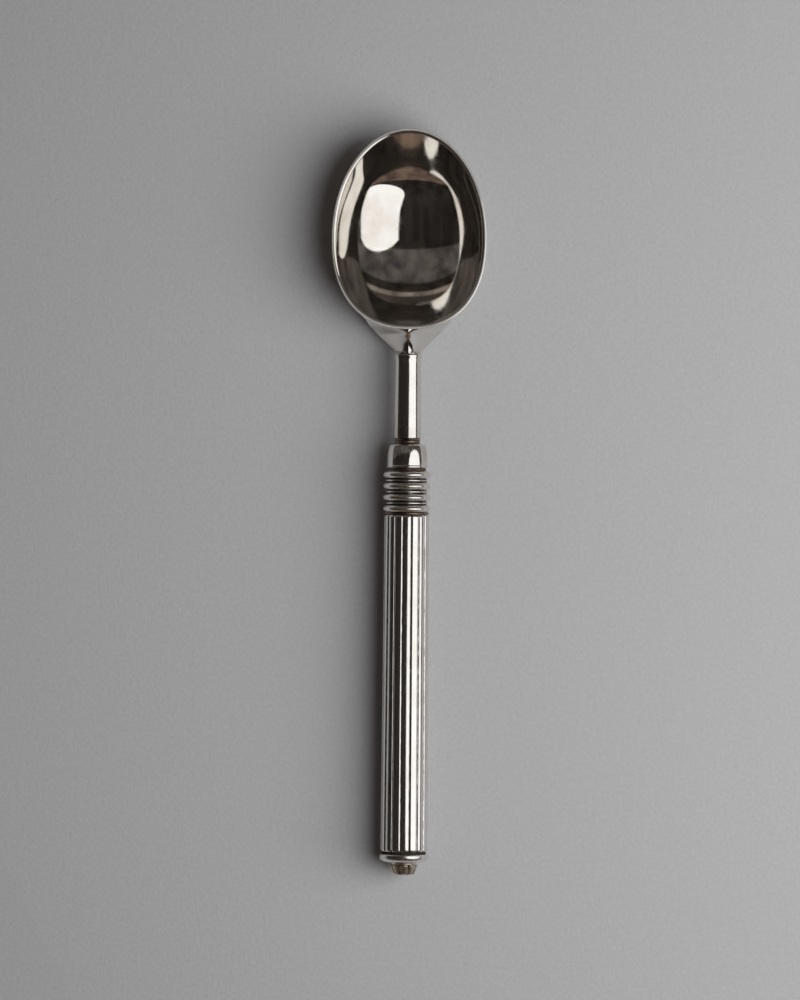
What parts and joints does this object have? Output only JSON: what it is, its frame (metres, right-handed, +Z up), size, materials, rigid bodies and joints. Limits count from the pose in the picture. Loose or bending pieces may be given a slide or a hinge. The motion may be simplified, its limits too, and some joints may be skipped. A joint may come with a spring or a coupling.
{
  "type": "ice cream scoop",
  "caption": "Ice cream scoop with a deep egg-shaped bowl, funnel neck, plain shaft, beaded collar and reeded metal handle closed by a bud-shaped nut.",
  "frame": {"origin": "on the surface that the scoop lies on, under the middle of its bounding box", "axes": "+Y along the scoop from the finial to the bowl's tip, +Z up out of the bowl, +X across"},
  "size_m": [0.0494, 0.2384, 0.0162],
  "materials": {
    "bowl_plate": "polished silver plate, warm, finely scratched",
    "silver_plate": "polished silver plate with brown tarnish in the grooves",
    "tarnished_plate": "dark brown tarnish on plated brass",
    "worn_brass": "worn plating over brass",
    "rod_steel": "plain turned steel, inside",
    "dark_fibre": "dark pressed fibre"
  },
  "bodies": {
    "scoop": {"bowl": "bowl_plate", "tie_rod": "rod_steel", "shaft_sleeve": "silver_plate", "neck_ring": "tarnished_plate", "ferrule": "silver_plate", "cove_ring": "tarnished_plate", "bead_ring_1": "silver_plate", "bead_ring_2": "silver_plate", "bead_ring_3": "silver_plate", "bead_ring_4": "silver_plate", "spacer_ring_1": "tarnished_plate", "spacer_ring_2": "tarnished_plate", "spacer_ring_3": "tarnished_plate", "ring_sleeve": "rod_steel", "upper_plug": "silver_plate", "handle_tube": "silver_plate", "lower_plug": "rod_steel", "cap_gasket": "dark_fibre", "end_cap": "silver_plate"},
    "collar": {"finial_collar": "silver_plate"},
    "finial": {"finial_nut": "worn_brass"}
  },
  "joints": [
    {"name": "collar_travel", "type": "slide", "parent": "scoop", "child": "collar", "axis": [0, -1, -0.0061], "range_m": [0, 0.0028]},
    {"name": "finial_turn", "type": "hinge", "parent": "collar", "child": "finial", "pos_m": [0, -0.11761, 0.00784], "axis": [0, -1, -0.0061], "range_deg": [0, 1440]}
  ],
  "couplings": [
    {"joint": "finial_turn", "follows": "collar_travel", "rad_per_m": 8975.9}
  ]
}
